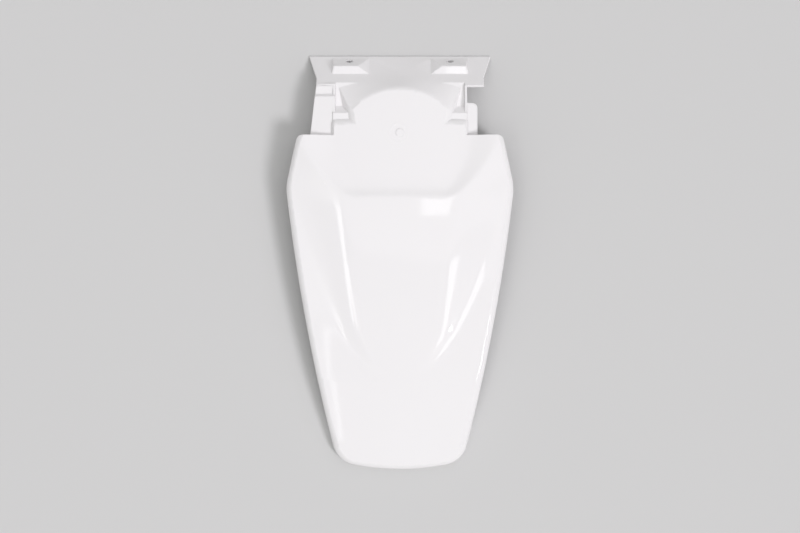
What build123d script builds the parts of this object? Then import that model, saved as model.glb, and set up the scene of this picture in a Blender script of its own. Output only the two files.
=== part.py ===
"""Rear fender of a small off-road motorcycle: one thin-walled moulding in gloss plastic.

+Y is the front, where a tilted flange bolts to the frame, and +Z is up.
The fender stands on the front edge of its flange and on the rim of its tail, at Z = 0.
Setbacks are measured from the front edge towards the tail.
"""

import math
import os

from build123d import *

# The whole moulding
overall_length = 445
overall_width = 240
wall = 2.5
overlap_walls = 4

# Outline of the tail and shoulders, seen from above
shoulder_setback = 88.5
shoulder_half_width = 108.5
shoulder_corner_radius = 8
widest_setback = 143
widest_corner_radius = 60
side_bow = 5
tail_half_width = 67.5
tail_end_bow = 9
tail_corner_radius = 28
edge_radius = 9

# Top skin: an arched crown line, a slight arch across, and a raised tongue with a fall at its sides
crown_height = 53.5
crown_peak_setback = 152
crown_radius = 1100
cross_radius = 1800
tongue_half_width = 60
tongue_taper = 0.1
tongue_flare = 0.7
tongue_length = 194
fall_half_width = 112
fall_depth = 6
closing_share = 0.78
pan_section_gap = 14
crest_section_gap = 4
tail_section_gap = 24
point_gap = 7

# Seat recess: a slightly arched pan, sunk below the shoulders and the tongue
crest_setback = 154.5
pan_front_height = 43.5
pan_slope = 3.5
pan_radius = 1000
pan_front_half_width = 74.5
pan_corner_radius = 70
recess_side_slope = 0.29
recess_rear_slope = 0.48
recess_rear_setback = 147
ridge_softness = 1
turn_softness = 5
gate_setback = 86.5
gate_radius = 4.5
gate_height = 0.4

# Neck: the wheel bulge in front of the pan, the pan's two ears, and a valley with a shelf before each ear
neck_half_width = 71
neck_draft = 8
ear_setback = 71
ear_side_radius = 3.5
bulge_setback = 43
bulge_half_width = 47.5
bulge_corner_setback = 74
bulge_edge_radius = 11.5
bulge_foot_half_width = 65
bulge_foot_rear_half_width = 56
bulge_foot_setback = 36.5
crease_setback = 18.5
crease_half_width = 69
crease_bow = 5
valley_front_height = 29.5
valley_rear_height = 31
shelf_setback = 65
shelf_height = 39
shelf_rise_run = 8

# Flange, the left ledge behind it and the right tab
flange_tilt = 41
flange_half_width = 98
flange_waist_half_width = 89
flange_waist_setback = 26
flange_setback = 35.5
flange_side_radius = 1
ledge_flat = 8.5
ledge_step = 3.5
ledge_step_run = 3
ledge_rear_height = 39.5
ledge_fall = 0.08
ledge_half_width = 95
tab_half_width = 82
tab_setback = 54
tab_fall = 0.4
tab_corner_radius = 5

# Bolt bosses: wedges on the flange, each with a steep face for its bolt and a nearly level top
hole_spacing = 108
hole_diameter = 7
hole_setback = 6.5
boss_setback = 2.5
boss_tilt = 59
boss_face_depth = 10.5
boss_top_slope = 6
boss_inner_half = 45
boss_outer_half = 71
boss_inner_foot = 12
boss_outer_foot = 2
boss_edge_radius = 1.5

# Rim of the skirt, from the tail to the shoulders and on under the neck
tail_foot = 42
skirt_front_height = 24
skirt_bow = 6
neck_rim_height = 18

front_y = overall_length / 2
tail_y = -overall_length / 2
half_width = overall_width / 2
shoulder_y = front_y - shoulder_setback
widest_y = front_y - widest_setback
crown_peak_y = front_y - crown_peak_setback
crest_y = front_y - crest_setback
recess_rear_y = front_y - recess_rear_setback
bulge_y = front_y - bulge_setback
shelf_y = front_y - shelf_setback
bulge_corner_y = front_y - bulge_corner_setback
bulge_foot_y = front_y - bulge_foot_setback
ear_y = front_y - ear_setback
crease_y = front_y - crease_setback
flange_y = front_y - flange_setback
tab_y = front_y - tab_setback
gate_y = front_y - gate_setback
boss_y = front_y - boss_setback
hole_y = front_y - hole_setback

block_floor = -20
block_top = 2 * crown_height
bevel_share = 2 - math.sqrt(2)
tilt_cos = math.cos(math.radians(flange_tilt))
tilt_sin = math.sin(math.radians(flange_tilt))
climb = tilt_sin / tilt_cos
flange_foot = wall * tilt_cos
flange_plane = Plane(origin=(0, front_y, flange_foot), x_dir=(1, 0, 0), z_dir=(0, tilt_sin, tilt_cos))
boss_cos = math.cos(math.radians(boss_tilt))
boss_sin = math.sin(math.radians(boss_tilt))


def crown(y):
    """Height of the crown line at a place along the fender."""
    along = y - crown_peak_y
    return crown_height - crown_radius + math.sqrt(crown_radius**2 - along**2)


def hinge(distance):
    """The distance where it is positive and zero where it is negative, with a soft turn between the two."""
    return (distance + math.hypot(distance, turn_softness)) / 2


def tongue_edge(y):
    """Half-width of the tongue's flat top: it tapers towards the tail and flares in front of the crest."""
    return tongue_half_width - tongue_taper * hinge(crest_y - y) + tongue_flare * hinge(y - crest_y)


def tongue_share(y):
    """Place along the tongue: 0 at the crest and 1 at the tongue's end."""
    return min(max((crest_y - y) / tongue_length, 0), 1)


def fall_edge(y):
    """Half-width where the tongue's side ends: a parabola that closes behind the tongue."""
    return fall_half_width * math.sqrt(1 - tongue_share(y)) + tongue_flare * hinge(y - crest_y)


def tail_skin(x, y):
    """Height of the tail and shoulders: the crown, less the arch across and the fall beside the tongue."""
    outer = fall_edge(y)
    inner = min(tongue_edge(y), closing_share * outer)
    ramp = (hinge(abs(x) - inner) - hinge(abs(x) - outer)) / max(outer - inner, wall)
    fall = fall_depth * (1 - tongue_share(y) ** 2)
    return crown(y) - x**2 / (2 * cross_radius) - fall * ramp


def pan_edge(y):
    """Half-width of the pan: it narrows behind the front of the shoulders, along a parabola."""
    return pan_front_half_width - max(shoulder_y - y, 0) ** 2 / (2 * pan_corner_radius)


def pan_skin(x, y):
    """Height of the seat pan and of the recess's sides, which rise from it."""
    pan = pan_front_height + (bulge_y - y) * math.tan(math.radians(pan_slope)) - x**2 / (2 * pan_radius)
    beside = hinge(abs(x) - pan_edge(y))
    behind = hinge(recess_rear_y - y)
    return pan + math.hypot(recess_side_slope * beside, recess_rear_slope * behind)


def top_skin(x, y):
    """Height of the finished top: the lower of tail and pan, with the ridge between them rounded off."""
    tail, pan = tail_skin(x, y), pan_skin(x, y)
    return (tail + pan - math.hypot(tail - pan, ridge_softness)) / 2


def flange_height(y):
    """Height of the flange's outer face."""
    return flange_foot + (front_y - y) * climb


def stations(start, end, gap):
    """Evenly spaced places from the start up to, but not including, the end."""
    steps = math.ceil(abs(end - start) / gap)
    return [start + (end - start) * i / steps for i in range(steps)]


def skin_block():
    """Solid under the top skin, larger than the fender all round: a loft through sections across it."""
    half_span = half_width + edge_radius
    before_y, after_y = recess_rear_y + overlap_walls * wall, crest_y - overlap_walls * wall
    behind_y = tail_y - edge_radius
    along = stations(front_y, before_y, pan_section_gap)
    along += stations(before_y, after_y, crest_section_gap)
    along += stations(after_y, behind_y, tail_section_gap)
    across = stations(-half_span, half_span, point_gap) + [half_span]
    shares = [(x + half_span) / (2 * half_span) for x in across]
    with BuildPart() as block:
        for y in along + [behind_y]:
            points = [(x, top_skin(x, y)) for x in across]
            with BuildSketch(Plane.XZ.offset(-y)):
                with BuildLine():
                    add(Edge.make_spline(points, parameters=shares))
                    Polyline(points[0], (-half_span, block_floor), (half_span, block_floor), points[-1])
                make_face()
        loft()
    return block.part


def planform(inset, front, corner):
    """Outline of the tail and shoulders from above, drawn inwards by the inset."""
    end_y = tail_y + tail_end_bow
    middle_y = (widest_y + end_y) / 2
    chord = math.hypot(half_width - tail_half_width, widest_y - end_y)
    splay = math.atan2(half_width - shoulder_half_width, shoulder_y - widest_y)
    taper = math.asin((half_width - tail_half_width) / chord) - 2 * math.atan(2 * side_bow / chord)
    cut = math.cos((splay - taper) / 2) / math.cos((splay + taper) / 2) - 1
    corner_half = half_width + widest_corner_radius * cut
    front_half = shoulder_half_width - (front - shoulder_y) * math.tan(splay)
    side_middle = (corner_half + tail_half_width) / 2 + side_bow
    with BuildSketch() as outline:
        with BuildLine():
            Polyline((-corner_half, widest_y), (-front_half, front), (front_half, front), (corner_half, widest_y))
            ThreePointArc((corner_half, widest_y), (side_middle, middle_y), (tail_half_width, end_y))
            ThreePointArc((tail_half_width, end_y), (0, tail_y), (-tail_half_width, end_y))
            ThreePointArc((-tail_half_width, end_y), (-side_middle, middle_y), (-corner_half, widest_y))
        make_face()
        if inset:
            offset(amount=-inset, kind=Kind.INTERSECTION)
        fillet(outline.vertices().group_by(Axis.X)[0], radius=widest_corner_radius - inset)
        fillet(outline.vertices().group_by(Axis.X)[-1], radius=widest_corner_radius - inset)
        fillet(outline.vertices().group_by(Axis.Y)[0], radius=tail_corner_radius - inset)
        if corner:
            fillet(outline.vertices().group_by(Axis.Y)[-1], radius=corner - inset)
    return outline.sketch


def tail_block(skin, inset):
    """Tail and shoulders as a solid. Their long edges are rolled over outside, and bevelled to suit inside."""
    long_outline = planform(inset, shoulder_y + 2 * shoulder_corner_radius, 0)
    true_outline = planform(inset, shoulder_y, shoulder_corner_radius)
    with BuildPart() as block:
        add(skin)
        extrude(long_outline, amount=block_top, both=True, mode=Mode.INTERSECT)
        rim = block.faces().sort_by(Axis.Z)[-1].edges().sort_by(Axis.Y)[:-1]
        if inset:
            chamfer(rim, length=(edge_radius - inset) * bevel_share)
        else:
            fillet(rim, radius=edge_radius)
        extrude(true_outline, amount=block_top, both=True, mode=Mode.INTERSECT)
    return block.part


def bulge_block(inset):
    """Wheel bulge: a ruled wall from the crease on the flange, past the valleys, to the pan's round edge."""
    low, high = flange_height(crease_y), pan_skin(0, ear_y) + wall
    draw = inset / math.sin(math.atan2(high - low, crease_y - bulge_y))
    back = shoulder_y - overlap_walls * inset
    foot_y = crease_y - (crease_y - bulge_y) * (valley_front_height - low) / (high - low)
    outlines = (
        (low, crease_half_width, crease_half_width, crease_y, crease_y - crease_bow),
        (valley_front_height, bulge_foot_half_width, bulge_foot_rear_half_width, foot_y, bulge_foot_y),
        (high, bulge_half_width, bulge_half_width, bulge_y, bulge_corner_y),
    )
    with BuildPart() as block:
        for height, front_half, rear_half, middle_y, corner_y in outlines:
            with BuildSketch(Plane.XY.offset(height)):
                with BuildLine():
                    right, left = (front_half - draw, corner_y - draw), (draw - front_half, corner_y - draw)
                    ThreePointArc(right, (0, middle_y - draw), left)
                    Polyline(left, (draw - rear_half, back), (rear_half - draw, back), right)
                make_face()
        loft(ruled=True)
        if inset:
            extrude(block.faces().sort_by(Axis.Z)[0], amount=low - block_floor)
    return block.part


def ear_block(inset):
    """Pan between the bulge and the shoulders, with drafted sides, down to the rim."""
    lean = math.tan(math.radians(neck_draft))
    back = shoulder_y - overlap_walls * inset
    with BuildPart() as block:
        for height in (block_floor, block_top):
            with BuildSketch(Plane.XY.offset(height)):
                half = neck_half_width + (pan_front_height - height) * lean - inset
                front = ear_y + (pan_front_height - height) * lean - inset
                Polygon((-half, back), (half, back), (half, front), (-half, front), align=None)
        loft(ruled=True)
    return block.part


def neck_block(skin, inset):
    """Bulge and ears under the pan. The pan's edge is well rounded in front, and less at the ears' sides."""
    with BuildPart() as block:
        add(bulge_block(inset))
        add(ear_block(inset))
        add(skin, mode=Mode.INTERSECT)
        back, left, right, *front = block.faces().sort_by(Axis.Z)[-1].edges().sort_by(Axis.Y)
        fillet(front, radius=bulge_edge_radius - inset)
        back, left, right, *front = block.faces().sort_by(Axis.Z)[-1].edges().sort_by(Axis.Y)
        fillet((left, right), radius=ear_side_radius - inset)
    return block.part


def valley_block(inset):
    """Solid under the floor of the two valleys, from a shelf beside the ears forward to the flange."""
    meet_y = front_y - (valley_front_height - flange_foot) / climb - inset / climb
    with BuildPart() as block:
        with BuildSketch(Plane.YZ):
            Polygon(
                (shoulder_y - overlap_walls * inset, block_floor),
                (shoulder_y - overlap_walls * inset, shelf_height - inset),
                (shelf_y - inset, shelf_height - inset),
                (shelf_y + shelf_rise_run - inset, valley_rear_height - inset),
                (meet_y, valley_front_height - inset),
                (meet_y, block_floor),
                align=None,
            )
        extrude(amount=neck_half_width - inset, both=True)
    return block.part


def ledge_line():
    """Top of the side ledge, from the flange's end over a flat and a step to the shoulder."""
    end_height = flange_height(flange_y)
    return [
        (flange_y + wall, end_height),
        (flange_y - ledge_flat, end_height),
        (flange_y - ledge_flat - ledge_step_run, end_height + ledge_step),
        (shoulder_y - wall / 2, ledge_rear_height),
    ]


def ledge_plate(outline, side, fall):
    """Side ledge: a bent plate of the given outline that falls away from the neck on one side."""
    top = ledge_line()
    below = [(y, z - wall) for y, z in reversed(top)]
    with BuildPart() as plate:
        with BuildSketch(Plane.YZ.offset(side * (neck_half_width - wall))):
            Polygon(*top, *below, align=None)
        extrude(amount=half_width, dir=(side, 0, -fall))
        extrude(outline, amount=block_top, mode=Mode.INTERSECT)
    return plate.part


pan_lean = math.radians(pan_slope)
gate_plane = Plane(
    origin=(0, gate_y, pan_skin(0, gate_y)),
    x_dir=(1, 0, 0),
    z_dir=(0, math.sin(pan_lean), math.cos(pan_lean)),
)
outer_skin = skin_block()
inner_skin = outer_skin.moved(Pos(0, 0, -wall))
neck_inside = neck_half_width - wall

with BuildSketch() as left_outline:
    Polygon(
        (-neck_inside, shoulder_y - wall / 2),
        (-neck_inside, flange_y + wall),
        (-flange_waist_half_width, flange_y + wall),
        (-flange_waist_half_width, flange_y),
        (-ledge_half_width, shoulder_y - wall / 2),
        align=None,
    )

with BuildSketch() as tab_outline:
    Polygon(
        (neck_inside, shoulder_y - wall / 2),
        (tab_half_width, shoulder_y - wall / 2),
        (tab_half_width, tab_y),
        (neck_inside, tab_y),
        align=None,
    )
    fillet(tab_outline.vertices().group_by(Axis.Y)[-1].sort_by(Axis.X)[-1], radius=tab_corner_radius)

# Flange: a flat plate with a gap in the middle of its upper edge, where the bulge and valleys join it
with BuildPart() as flange:
    with BuildSketch(flange_plane):
        waist = -flange_waist_setback / tilt_cos
        end = -flange_setback / tilt_cos
        Polygon(
            (-flange_half_width, 0),
            (-flange_waist_half_width, waist),
            (-flange_waist_half_width, end),
            (flange_waist_half_width, end),
            (flange_waist_half_width, waist),
            (flange_half_width, 0),
            align=None,
        )
        valley_rise = -(valley_front_height - flange_foot) / tilt_sin
        Polygon(
            (-neck_inside, valley_rise),
            (neck_inside, valley_rise),
            (neck_inside, 2 * end),
            (-neck_inside, 2 * end),
            align=None,
            mode=Mode.SUBTRACT,
        )
    extrude(amount=-wall)
    rim = flange.faces().sort_by(Axis((0, 0, 0), flange_plane.z_dir))[-1].edges().sort_by(Axis.X)
    fillet(rim[:2] + rim[-3:], radius=flange_side_radius)

# Webs between the valleys and the ledges
with BuildPart() as webs:
    with BuildSketch(Plane.YZ.offset(neck_inside)):
        Polygon(
            (ear_y - wall, valley_rear_height - wall),
            (ear_y - wall, ledge_rear_height),
            (flange_y, flange_height(flange_y)),
            (front_y - (valley_front_height - flange_foot) / climb, valley_front_height),
            (front_y - (valley_front_height - flange_foot) / climb, valley_front_height - wall),
            align=None,
        )
    extrude(amount=wall)
    mirror(about=Plane.YZ)


def boss_line(y):
    """Height of the bosses' bolt faces."""
    return flange_height(boss_y) + (boss_y - y) * boss_sin / boss_cos


def boss_pair(inset, low):
    """The two bolt bosses, drawn in by the inset: wedges with steep outer ends and sloped inner ends."""
    reach = overall_width
    ridge_y = boss_y - boss_face_depth
    ridge_z = boss_line(ridge_y)
    slope = math.radians(boss_top_slope)
    tall = (ridge_z - flange_height(ridge_y)) * tilt_cos
    foot, head = low / tall, 1 + overlap_walls * wall / tall
    with BuildPart() as pair:
        with BuildSketch(Plane(origin=(0, 0, 0), x_dir=(1, 0, 0), z_dir=(0, -tilt_cos, tilt_sin))):
            level = flange_foot * tilt_cos + front_y * tilt_sin
            Polygon(
                (boss_inner_half - boss_inner_foot * (1 - foot) + inset, level + foot * tall),
                (boss_outer_half + boss_outer_foot * (1 - foot) - inset, level + foot * tall),
                (boss_outer_half + boss_outer_foot * (1 - head) - inset, level + head * tall),
                (boss_inner_half - boss_inner_foot * (1 - head) + inset, level + head * tall),
                align=None,
            )
        extrude(amount=reach, both=True)
        with BuildSketch(Plane.YZ):
            Polygon(
                (ridge_y, ridge_z),
                (ridge_y + reach * boss_cos, ridge_z - reach * boss_sin),
                (ridge_y - reach * math.cos(slope), ridge_z - reach * math.sin(slope)),
                align=None,
            )
            if inset:
                offset(amount=-inset, kind=Kind.INTERSECTION)
        extrude(amount=reach, mode=Mode.INTERSECT)
        if not inset:
            foot_face = pair.faces().sort_by(Axis((0, 0, 0), flange_plane.z_dir))[0]
            fillet(pair.edges() - foot_face.edges(), radius=boss_edge_radius)
        mirror(about=Plane.YZ)
    return pair.part


# Space under the rim: up the back of the flange, under the neck and along the skirt to the tail
with BuildPart() as under_rim:
    with BuildSketch(Plane.YZ):
        back_y = front_y - wall * tilt_sin
        foot_y = tail_y + tail_foot
        with BuildLine():
            Polyline(
                (foot_y, 0),
                (tail_y - edge_radius, 0),
                (tail_y - edge_radius, 2 * block_floor),
                (front_y, 2 * block_floor),
                (front_y, 0),
                (back_y, 0),
                (back_y - neck_rim_height / climb, neck_rim_height),
                (shoulder_y, skirt_front_height),
            )
            middle = (shoulder_y + foot_y) / 2, skirt_front_height / 2 + skirt_bow
            ThreePointArc((shoulder_y, skirt_front_height), middle, (foot_y, 0))
        make_face()
    extrude(amount=overall_width, both=True)

with BuildPart() as fender:
    add(tail_block(outer_skin, 0))
    add(neck_block(outer_skin, 0))
    add(valley_block(0))
    add(flange.part)
    add(webs.part)
    add(ledge_plate(left_outline.sketch, -1, ledge_fall))
    add(ledge_plate(tab_outline.sketch, 1, tab_fall))
    add(tail_block(inner_skin, wall), mode=Mode.SUBTRACT)
    add(neck_block(inner_skin, wall), mode=Mode.SUBTRACT)
    add(valley_block(wall), mode=Mode.SUBTRACT)
    add(under_rim.part, mode=Mode.SUBTRACT)
    add(boss_pair(0, -wall / 2))
    add(boss_pair(wall, -2 * wall), mode=Mode.SUBTRACT)
    with BuildSketch(Plane(origin=(0, hole_y, boss_line(hole_y)), x_dir=(1, 0, 0), z_dir=(0, boss_sin, boss_cos))):
        with Locations((-hole_spacing / 2, 0), (hole_spacing / 2, 0)):
            Circle(hole_diameter / 2)
    extrude(amount=2 * wall, both=True, mode=Mode.SUBTRACT)
    with BuildSketch(gate_plane):
        Circle(gate_radius)
    extrude(amount=gate_height, both=True)

os.makedirs("parts", exist_ok=True)
fender.part.label = "rear_fender"
export_step(fender.part, "parts/rear_fender.step")
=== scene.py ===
import math

import bmesh
import bpy
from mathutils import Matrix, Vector


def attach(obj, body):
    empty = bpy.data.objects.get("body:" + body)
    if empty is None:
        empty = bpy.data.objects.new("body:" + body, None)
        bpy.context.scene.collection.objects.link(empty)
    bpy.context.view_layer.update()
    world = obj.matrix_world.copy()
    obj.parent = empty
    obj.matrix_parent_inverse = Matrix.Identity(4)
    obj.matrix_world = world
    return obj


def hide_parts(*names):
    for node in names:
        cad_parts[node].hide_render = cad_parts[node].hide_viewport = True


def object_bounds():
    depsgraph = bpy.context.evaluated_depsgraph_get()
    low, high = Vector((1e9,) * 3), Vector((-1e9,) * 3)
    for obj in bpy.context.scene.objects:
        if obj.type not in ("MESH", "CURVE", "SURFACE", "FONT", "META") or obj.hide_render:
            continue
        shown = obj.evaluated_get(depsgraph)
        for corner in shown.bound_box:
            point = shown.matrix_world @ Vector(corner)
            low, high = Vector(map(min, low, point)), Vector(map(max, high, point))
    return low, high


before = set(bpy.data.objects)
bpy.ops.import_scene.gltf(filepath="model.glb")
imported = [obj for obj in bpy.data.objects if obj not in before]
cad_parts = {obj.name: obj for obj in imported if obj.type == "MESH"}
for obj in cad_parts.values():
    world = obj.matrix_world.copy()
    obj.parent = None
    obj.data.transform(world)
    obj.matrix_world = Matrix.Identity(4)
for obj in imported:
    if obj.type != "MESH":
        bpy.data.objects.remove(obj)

cad_box = [list(corner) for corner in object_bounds()]
scene = bpy.context.scene
scene.view_settings.view_transform = "Standard"

# The fender is one injection moulding in gloss white plastic, a thin wall that two bolts hold by its flange.
# The CAD solid gives every outline. The copy shown here has its top skin divided more finely and set on the
# smooth curve that the mould is cut to, with sizes in millimetres, so that reflections run without facets.
mm = 0.001
front_y = 222.5
bulge_y = front_y - 43
shoulder_y = front_y - 88.5
recess_rear_y = front_y - 147
crown_peak_y = front_y - 152
crest_y = front_y - 154.5
wall = 2.5
turn_softness = 5


def hinge(distance):
    """The distance where it is positive and zero where it is negative, with a soft turn between them."""
    return (distance + math.hypot(distance, turn_softness)) / 2


crown_height = 53.5
crown_radius = 1100
cross_radius = 1800
tongue_length = 194
tongue_half_width = 60
tongue_taper = 0.1
tongue_flare = 0.7
fall_half_width = 112
fall_depth = 6
closing_share = 0.78


def tongue_share(y):
    """Place along the tongue: 0 at the crest and 1 at the tongue's end."""
    return min(max((crest_y - y) / tongue_length, 0), 1)


def tail_skin(x, y):
    """Height of the arched tail and shoulders, lower beside the raised tongue."""
    crown = crown_height - crown_radius + math.sqrt(crown_radius**2 - (y - crown_peak_y) ** 2)
    flare = tongue_flare * hinge(y - crest_y)
    outer = fall_half_width * math.sqrt(1 - tongue_share(y)) + flare
    inner = min(tongue_half_width - tongue_taper * hinge(crest_y - y) + flare, closing_share * outer)
    ramp = (hinge(abs(x) - inner) - hinge(abs(x) - outer)) / max(outer - inner, wall)
    fall = fall_depth * (1 - tongue_share(y) ** 2)
    return crown - x**2 / (2 * cross_radius) - fall * ramp


pan_front_height = 43.5
pan_slope = math.radians(3.5)
pan_radius = 1000
pan_front_half_width = 74.5
pan_corner_radius = 70
recess_side_slope = 0.29
recess_rear_slope = 0.48


def pan_skin(x, y):
    """Height of the seat pan and of the sides that rise from it."""
    pan = pan_front_height + (bulge_y - y) * math.tan(pan_slope) - x**2 / (2 * pan_radius)
    narrowing = max(shoulder_y - y, 0) ** 2 / (2 * pan_corner_radius)
    beside = hinge(abs(x) - pan_front_half_width + narrowing)
    behind = hinge(recess_rear_y - y)
    return pan + math.hypot(recess_side_slope * beside, recess_rear_slope * behind)


ridge_softness = 1


def top_skin(x, y):
    """Height of the top: the lower of tail and pan, with the ridge between them rounded off."""
    tail, pan = tail_skin(x, y), pan_skin(x, y)
    return (tail + pan - math.hypot(tail - pan, ridge_softness)) / 2


skin_front_y = bulge_y + 1
skin_floor = 5
skin_reach = 0.4
least_upward = 0.8


def on_skin(vert):
    """Whether a point of the mesh lies on the top skin, and no further forward than the bulge."""
    x, y, z = (c / mm for c in vert.co)
    return y < skin_front_y and z > skin_floor and abs(top_skin(x, y) - z) < skin_reach


def skin_faces(mesh):
    """The faces that look upwards and have all their points on the top skin."""
    return [f for f in mesh.faces if f.normal.z > least_upward and all(on_skin(v) for v in f.verts)]


shell = bpy.data.objects.new("fender_shell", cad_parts["rear_fender"].data.copy())
scene.collection.objects.link(shell)
bpy.ops.object.select_all(action="DESELECT")
shell.select_set(True)
bpy.context.view_layer.objects.active = shell
bpy.ops.object.mode_set(mode="EDIT")
bpy.ops.mesh.select_all(action="SELECT")
bpy.ops.mesh.remove_doubles(threshold=0.02 * mm)
bpy.ops.mesh.customdata_custom_splitnormals_clear()
bpy.ops.object.mode_set(mode="OBJECT")
mesh = bmesh.new()
mesh.from_mesh(shell.data)
for longest in (16, 8, 5):
    long_edges = {e for f in skin_faces(mesh) for e in f.edges if e.calc_length() > longest * mm}
    bmesh.ops.subdivide_edges(mesh, edges=list(long_edges), cuts=1)
    bmesh.ops.triangulate(mesh, faces=[f for f in mesh.faces if len(f.verts) > 3])
skin_verts = {v for f in skin_faces(mesh) for v in f.verts}
for v in skin_verts:
    v.co.z = min(top_skin(v.co.x / mm, v.co.y / mm) * mm, cad_box[1][2])
mesh.verts.index_update()
probe = 0.2
skin_normals = {}
for v in skin_verts:
    x, y = v.co.x / mm, v.co.y / mm
    slope_x = (top_skin(x + probe, y) - top_skin(x - probe, y)) / (2 * probe)
    slope_y = (top_skin(x, y + probe) - top_skin(x, y - probe)) / (2 * probe)
    skin_normals[v.index] = Vector((-slope_x, -slope_y, 1)).normalized()
mesh.to_mesh(shell.data)
mesh.free()
smooth_angle = math.radians(19)
curve_angle = math.radians(25)
bpy.ops.object.shade_smooth_by_angle(angle=smooth_angle)
corner_normals = [corner.vector.copy() for corner in shell.data.corner_normals]
for loop in shell.data.loops:
    on_curve = skin_normals.get(loop.vertex_index)
    if on_curve and on_curve.angle(corner_normals[loop.index]) < curve_angle:
        corner_normals[loop.index] = on_curve
shell.data.normals_split_custom_set(corner_normals)


class Socket:
    """A shader socket on which numbers can be worked out."""

    def __init__(self, tree, link):
        self.tree, self.link = tree, link

    def node(self, kind, settings=(), output=0, **values):
        """A new node, whose inputs are given by name, or by place as i0, i1 and so on."""
        made = self.tree.nodes.new(kind)
        for name, value in dict(settings).items():
            setattr(made, name, value)
        for name, value in values.items():
            spot = int(name[1:]) if name[1:].isdigit() else name.replace("_", " ")
            if isinstance(value, Socket):
                self.tree.links.new(value.link, made.inputs[spot])
            else:
                made.inputs[spot].default_value = value
        return Socket(self.tree, made.outputs[output])

    def maths(self, operation, *values):
        inputs = {f"i{i}": value for i, value in enumerate(values)}
        return self.node("ShaderNodeMath", {"operation": operation}, **inputs)

    def ramp(self, start, end):
        """0 at the start and 1 at the end, with an even rise between them and level beyond."""
        return self.node("ShaderNodeMapRange", Value=self, From_Min=start, From_Max=end)

    def __add__(self, other):
        return self.maths("ADD", self, other)

    def __mul__(self, other):
        return self.maths("MULTIPLY", self, other)

    def __sub__(self, other):
        return self.maths("SUBTRACT", self, other)

    def __rsub__(self, other):
        return self.maths("SUBTRACT", other, self)

    __radd__ = __add__
    __rmul__ = __mul__


plastic = bpy.data.materials.new("gloss_white_plastic")
plastic.use_nodes = True
tree = plastic.node_tree
shader = tree.nodes["Principled BSDF"]
shader.inputs["IOR"].default_value = 1.49
place = Socket(tree, tree.nodes.new("ShaderNodeTexCoord").outputs["Object"])

# The white drifts a little in soft clouds
dull_white = (0.87, 0.858, 0.862, 1)
clear_white = (0.89, 0.878, 0.882, 1)
cloud = place.node("ShaderNodeTexNoise", Vector=place, Scale=9.0, Detail=3.0)
grain = place.node("ShaderNodeTexNoise", Vector=place, Scale=260.0, Detail=2.0)
tint = place.node(
    "ShaderNodeMix", {"data_type": "RGBA"}, output=2, i0=cloud, i6=dull_white, i7=clear_white,
)
tree.links.new(tint.link, shader.inputs["Base Color"])

# The gloss is high, and a little lower on the left, beside the tongue and around the crest
polish = 0.03
unevenness = 0.02
dulling = 0.22
across = place.node("ShaderNodeSeparateXYZ", output=0, Vector=place)
along = place.node("ShaderNodeSeparateXYZ", output=1, Vector=place)
leftward = 0 - across
beside_tongue = (leftward - along * 0.25).ramp(0.07, 0.08667) * along.ramp(-0.07, -0.045)
around_crest = leftward.ramp(0.03333, 0.05) * along.ramp(0.058, 0.078) * along.ramp(0.104, 0.084)
dulled = place.maths("MAXIMUM", beside_tongue, around_crest)
rough = polish + unevenness * cloud + unevenness * grain + dulling * dulled
tree.links.new(rough.link, shader.inputs["Roughness"])

# A faint ring surrounds the moulding gate on the pan, and sharp edges are slightly softened
gate = (-0.001, 0.136, 0)
ring_radius = 0.0098
flat = place.node("ShaderNodeVectorMath", {"operation": "MULTIPLY"}, i0=place, i1=(1, 1, 0))
from_gate = place.node("ShaderNodeVectorMath", {"operation": "DISTANCE"}, output=1, i0=flat, i1=gate)
ring = place.maths("ABSOLUTE", from_gate - ring_radius).ramp(0.001, 0.000333)
relief = ring + 0.04 * grain
soft_edge = place.node("ShaderNodeBevel", {"samples": 6}, Radius=0.0014)
bump = place.node("ShaderNodeBump", Strength=0.5, Distance=0.0002, Height=relief, Normal=soft_edge)
tree.links.new(bump.link, shader.inputs["Normal"])

shell.data.materials.clear()
shell.data.materials.append(plastic)
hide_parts("rear_fender")
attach(shell, "root")

# The floor is a plain pale grey sheet of matt paper.
# It lies level under the fender, and is large enough to fill the view.
bpy.ops.object.select_all(action="DESELECT")
bpy.ops.mesh.primitive_plane_add(size=6, location=(0, 0, 0))
floor = bpy.context.object
floor.name = "floor"
paper = bpy.data.materials.new("pale_grey_paper")
paper.use_nodes = True
sheet = paper.node_tree.nodes["Principled BSDF"]
sheet.inputs["Base Color"].default_value = (0.63, 0.63, 0.625, 1)
sheet.inputs["Roughness"].default_value = 0.9
sheet.inputs["Specular IOR Level"].default_value = 0.1
floor.data.materials.append(paper)

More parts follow.
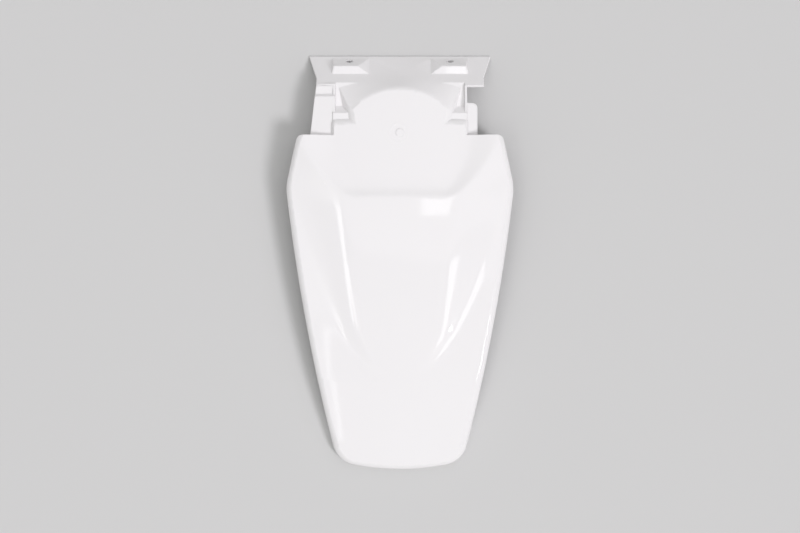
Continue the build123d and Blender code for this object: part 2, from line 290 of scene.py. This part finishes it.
# Soft studio light: a sky that is a little brighter to the left and the tail, a key from the right and the
# tail, a broad fill from the front, and boxes level with the camera that show as crisp reflections.
world = bpy.data.worlds.new("studio")
scene.world = world
world.use_nodes = True
sky = world.node_tree
sky_level = 0.482
brighter_way = (-0.18, -0.2, 0)
direction = Socket(sky, sky.nodes.new("ShaderNodeTexCoord").outputs["Generated"])
lean = direction.node(
    "ShaderNodeVectorMath", {"operation": "DOT_PRODUCT"}, output=1, i0=direction, i1=brighter_way,
)
strength = (1 + lean) * sky_level
sky.links.new(strength.link, sky.nodes["Background"].inputs["Strength"])
sky.nodes["Background"].inputs["Color"].default_value = (1, 1, 0.99, 1)
camera_height = 1.6


def sun(name, way, energy, spread):
    """A distant lamp that stands in the given direction and spreads over some degrees of the sky."""
    lamp = bpy.data.lights.new(name, "SUN")
    lamp.energy = energy
    lamp.color = (1, 0.98, 1.02)
    lamp.angle = math.radians(spread)
    far_lamp = bpy.data.objects.new(name, lamp)
    scene.collection.objects.link(far_lamp)
    far_lamp.rotation_euler = Vector(way).to_track_quat("Z", "Y").to_euler()


def soft_box(name, x, y, width, depth, turn, radiance):
    """A level box that shines straight down, turned about the vertical by some degrees."""
    lamp = bpy.data.lights.new(name, "AREA")
    lamp.shape = "RECTANGLE"
    lamp.size, lamp.size_y = width, depth
    lamp.energy = radiance * math.pi * width * depth
    box = bpy.data.objects.new(name, lamp)
    scene.collection.objects.link(box)
    box.location = (x, y, camera_height)
    box.rotation_euler = (0, 0, math.radians(turn))


sun("key", (0.53, -0.36, 0.82), energy=1.19, spread=14)
sun("fill", (0.1, 0.45, 0.85), energy=0.53, spread=70)
soft_box("camera_box", 0.16, 0.17, width=0.15, depth=0.25, turn=0, radiance=2.5)
soft_box("left_strip", -0.58, -0.27, width=0.1, depth=0.66, turn=-4.7, radiance=3.6)
soft_box("left_foot", -0.47, -0.42, width=0.1, depth=0.36, turn=20, radiance=3)
soft_box("right_strip", 0.53, -0.53, width=0.25, depth=0.62, turn=0, radiance=2.8)
soft_box("tail_strip", -0.28, -0.83, width=0.018, depth=0.86, turn=2.7, radiance=2.5)

# The camera looks straight down, as in the photograph, with the front of the fender at the top.
# It stands well above the floor, so that the outline shows little perspective.
lens = bpy.data.cameras.new("camera")
lens.sensor_width = 36
lens.lens = 66.6
camera = bpy.data.objects.new("camera", lens)
scene.collection.objects.link(camera)
camera.location = (0, -0.0045, camera_height)
scene.camera = camera
